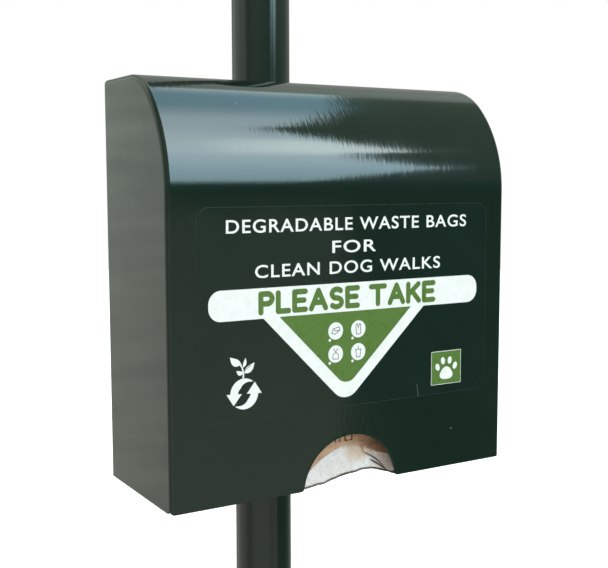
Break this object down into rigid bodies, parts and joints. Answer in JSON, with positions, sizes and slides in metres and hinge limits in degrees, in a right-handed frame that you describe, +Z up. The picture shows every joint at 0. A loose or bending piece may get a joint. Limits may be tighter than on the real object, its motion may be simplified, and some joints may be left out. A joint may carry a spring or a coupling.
{
  "type": "dog waste bag dispenser",
  "caption": "Folded steel bag dispenser with a rounded front top, a half-round notch below and hanging bag packs inside, strapped in front of a round post.",
  "frame": {"origin": "on the post's axis at the lower end of the post section", "axes": "+Z up along the post; the case's front faces -Y; +X is to the right of somebody facing the front"},
  "size_m": [0.3685, 0.2062, 0.662],
  "materials": {
    "green_paint": "gloss dark fir-green powder coat",
    "zinc_steel": "zinc plated",
    "stainless": "satin",
    "nickel": "nickel plated, satin",
    "black_plastic": "moulded, fine grain",
    "black_rubber": "matt",
    "kraft_card": "uncoated kraft card with short fibres",
    "bag_film": "thin crinkled translucent film",
    "label_film": "clear gloss film",
    "label_white": "white print under clear film",
    "label_green": "leaf-green print under clear film"
  },
  "bodies": {
    "root": {"post_tube": "green_paint", "post_cap": "black_plastic", "lower_saddle_pad": "black_rubber", "upper_saddle_pad": "black_rubber", "lower_strap": "green_paint", "upper_strap": "green_paint", "strap_bolts": "zinc_steel", "strap_washers": "zinc_steel", "strap_nuts": "zinc_steel", "back_plate": "green_paint", "hinge_leaf_fixed": "stainless", "hinge_pin": "stainless", "leaf_rivets": "zinc_steel", "stop_buffer_right": "black_rubber", "stop_buffer_left": "black_rubber", "lock_keeper": "green_paint", "keeper_rivets": "zinc_steel", "hanger_studs": "zinc_steel", "stud_spacers": "black_plastic", "retainer_bar": "zinc_steel", "pack_folder": "kraft_card", "front_bag": "bag_film", "bag_pack_1": "bag_film", "header_card_1": "kraft_card", "bag_pack_2": "bag_film", "header_card_2": "kraft_card", "bag_pack_3": "bag_film", "header_card_3": "kraft_card", "bag_pack_4": "bag_film", "header_card_4": "kraft_card"},
    "cover": {"cover_wrap": "green_paint", "cover_side_left": "green_paint", "cover_side_right": "green_paint", "label_film": "label_film", "hinge_leaf_moving": "stainless", "stop_bracket_right": "green_paint", "stop_bracket_left": "green_paint", "lock_body": "nickel", "lock_nut": "nickel"},
    "lock_barrel": {"lock_plug": "nickel", "lock_cam": "zinc_steel", "cam_screw": "zinc_steel"},
    "left_wing_nut": {"wing_nut_left": "zinc_steel"},
    "right_wing_nut": {"wing_nut_right": "zinc_steel"}
  },
  "joints": [
    {"name": "cover_swing", "type": "hinge", "parent": "root", "child": "cover", "pos_m": [0, -0.0365, 0.5335], "axis": [-1, 0, 0], "range_deg": [0, 85]},
    {"name": "lock_turn", "type": "hinge", "parent": "cover", "child": "lock_barrel", "pos_m": [0.17, -0.09, 0.23], "axis": [1, 0, 0], "range_deg": [0, 90]},
    {"name": "left_wing_nut_turn", "type": "hinge", "parent": "root", "child": "left_wing_nut", "pos_m": [-0.06, -0.15, 0.455], "axis": [0, -1, 0], "continuous": true},
    {"name": "right_wing_nut_turn", "type": "hinge", "parent": "root", "child": "right_wing_nut", "pos_m": [0.06, -0.15, 0.455], "axis": [0, -1, 0], "continuous": true}
  ]
}
